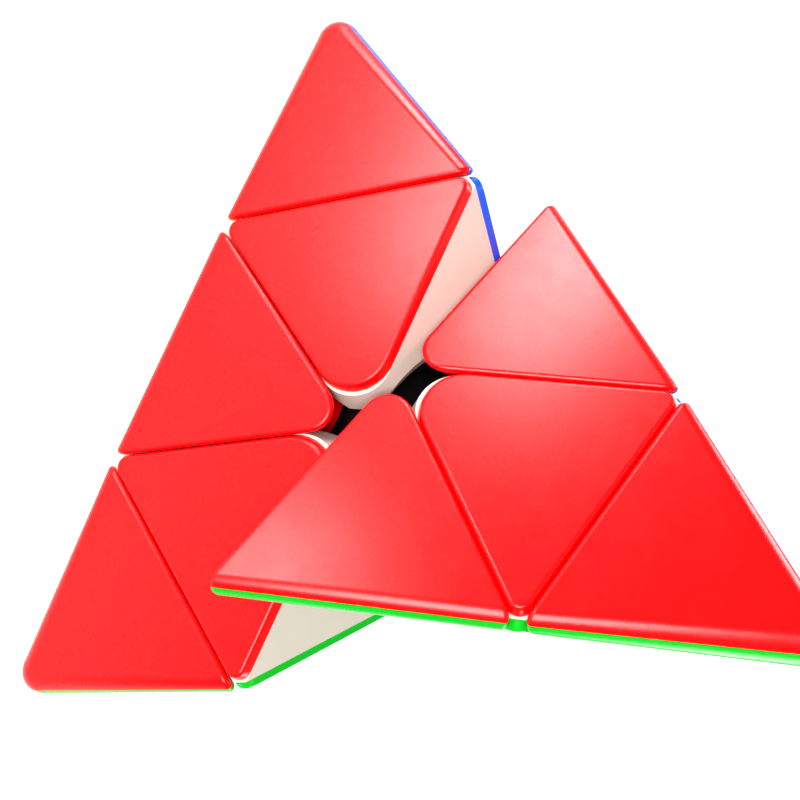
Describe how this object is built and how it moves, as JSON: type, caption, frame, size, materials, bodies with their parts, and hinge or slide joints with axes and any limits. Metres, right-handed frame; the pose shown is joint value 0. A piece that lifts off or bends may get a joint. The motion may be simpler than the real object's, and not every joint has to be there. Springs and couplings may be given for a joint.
{
  "type": "pyramid twisty puzzle",
  "caption": "Tetrahedral twisty puzzle in coloured plastic: corner pieces, edge pieces and turning tips around a sprung core, with one corner layer part-turned.",
  "frame": {"origin": "the point where the four turning axes meet, which is also the centre of mass", "axes": "+Z along the axis of the part-turned corner layer, away from the yellow face the puzzle lies on; -Y towards the red face; the left and right corners lie towards -X and +X"},
  "size_m": [0.231, 0.2085, 0.1913],
  "materials": {
    "red_plastic": "satin moulded ABS, red",
    "green_plastic": "satin moulded ABS, green",
    "blue_plastic": "satin moulded ABS, blue",
    "yellow_plastic": "satin moulded ABS, yellow",
    "white_plastic": "satin moulded ABS, warm white",
    "black_plastic": "matte moulded nylon, black",
    "screw_steel": "zinc-plated steel",
    "spring_steel": "bright drawn spring wire"
  },
  "bodies": {
    "main": {"axis_screws": "screw_steel", "axis_springs": "spring_steel", "axis_washers": "screw_steel", "core": "black_plastic", "corner_back_body": "white_plastic", "corner_back_cap_blue": "blue_plastic", "corner_back_cap_green": "green_plastic", "corner_back_cap_yellow": "yellow_plastic", "corner_left_body": "white_plastic", "corner_left_cap_blue": "blue_plastic", "corner_left_cap_red": "red_plastic", "corner_left_cap_yellow": "yellow_plastic", "corner_right_body": "white_plastic", "corner_right_cap_green": "green_plastic", "corner_right_cap_red": "red_plastic", "corner_right_cap_yellow": "yellow_plastic", "edge_left_back_blue": "blue_plastic", "edge_left_back_yellow": "yellow_plastic", "edge_left_right_red": "red_plastic", "edge_left_right_yellow": "yellow_plastic", "edge_right_back_green": "green_plastic", "edge_right_back_yellow": "yellow_plastic", "lower_tip_posts": "white_plastic", "lower_tip_screws": "screw_steel", "lower_tip_springs": "spring_steel", "lower_tip_washers": "screw_steel"},
    "turned layer": {"corner_top_body": "white_plastic", "corner_top_cap_blue": "blue_plastic", "corner_top_cap_green": "green_plastic", "corner_top_cap_red": "red_plastic", "edge_top_back_blue": "blue_plastic", "edge_top_back_green": "green_plastic", "edge_top_left_blue": "blue_plastic", "edge_top_left_red": "red_plastic", "edge_top_right_green": "green_plastic", "edge_top_right_red": "red_plastic", "top_tip_post": "white_plastic", "top_tip_screw": "screw_steel", "top_tip_spring": "spring_steel", "top_tip_washer": "screw_steel"},
    "top tip": {"tip_top_body": "white_plastic", "tip_top_cap_blue": "blue_plastic", "tip_top_cap_green": "green_plastic", "tip_top_cap_red": "red_plastic"},
    "left tip": {"tip_left_body": "white_plastic", "tip_left_cap_blue": "blue_plastic", "tip_left_cap_red": "red_plastic", "tip_left_cap_yellow": "yellow_plastic"},
    "right tip": {"tip_right_body": "white_plastic", "tip_right_cap_green": "green_plastic", "tip_right_cap_red": "red_plastic", "tip_right_cap_yellow": "yellow_plastic"},
    "back tip": {"tip_back_body": "white_plastic", "tip_back_cap_blue": "blue_plastic", "tip_back_cap_green": "green_plastic", "tip_back_cap_yellow": "yellow_plastic"}
  },
  "joints": [
    {"name": "layer_turn", "type": "hinge", "parent": "main", "child": "turned layer", "pos_m": [0, 0, 0], "axis": [0, 0, 1], "continuous": true},
    {"name": "top_tip_turn", "type": "hinge", "parent": "turned layer", "child": "top tip", "pos_m": [0, 0, 0], "axis": [0, 0, 1], "continuous": true},
    {"name": "left_tip_turn", "type": "hinge", "parent": "main", "child": "left tip", "pos_m": [0, 0, 0], "axis": [-0.8165, -0.4714, -0.3333], "continuous": true},
    {"name": "right_tip_turn", "type": "hinge", "parent": "main", "child": "right tip", "pos_m": [0, 0, 0], "axis": [0.8165, -0.4714, -0.3333], "continuous": true},
    {"name": "back_tip_turn", "type": "hinge", "parent": "main", "child": "back tip", "pos_m": [0, 0, 0], "axis": [0, 0.9428, -0.3333], "continuous": true}
  ]
}
